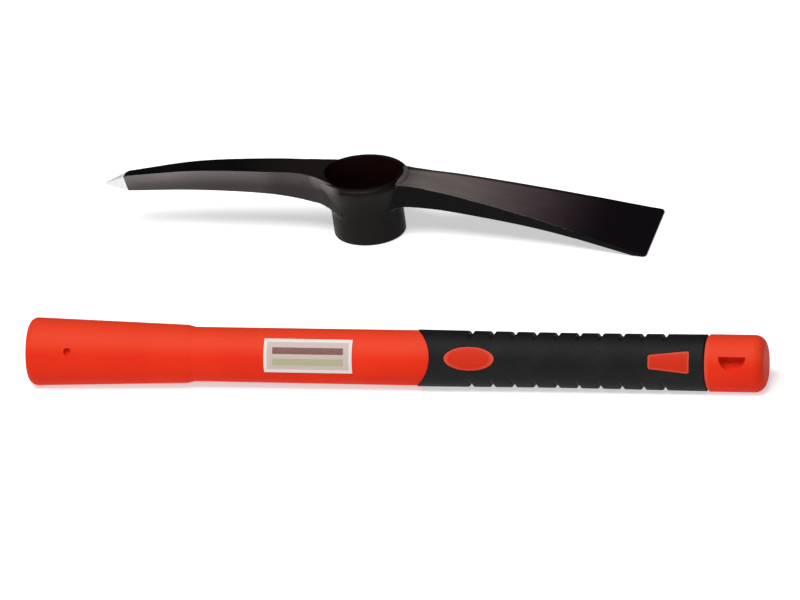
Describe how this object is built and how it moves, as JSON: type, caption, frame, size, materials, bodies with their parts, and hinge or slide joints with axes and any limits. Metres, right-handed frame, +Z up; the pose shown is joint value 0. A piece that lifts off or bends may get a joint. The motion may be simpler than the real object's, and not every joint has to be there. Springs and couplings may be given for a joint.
{
  "type": "mattock",
  "caption": "Short-handled mattock taken apart: black forged head with pick and adze round a tapered oval eye, beside a red-orange flared handle with a black rubber grip.",
  "frame": {"origin": "eye axis of the head, on the foot of the collar, which stands on the floor", "axes": "+X along the handle and the head's arms, from the pick to the adze and from the handle's head end to its butt; +Y away from the viewer; +Z up along the eye axis"},
  "size_m": [0.3916, 0.1919, 0.0391],
  "materials": {
    "head_steel": "black lacquer on forged steel, bare ground point",
    "glass_fibre": "pultruded glass fibre and resin",
    "jacket_plastic": "satin moulded",
    "grip_rubber": "matte moulded",
    "label_paper": "printed"
  },
  "bodies": {
    "handle": {"handle_core": "glass_fibre", "handle_jacket": "jacket_plastic", "rubber_grip": "grip_rubber", "paper_label": "label_paper"},
    "head": {"mattock_head": "head_steel"}
  },
  "joints": [
    {"name": "head_slide", "type": "slide", "parent": "handle", "child": "head", "axis": [0, 0, 1], "range_m": [0, 0.3675]}
  ]
}
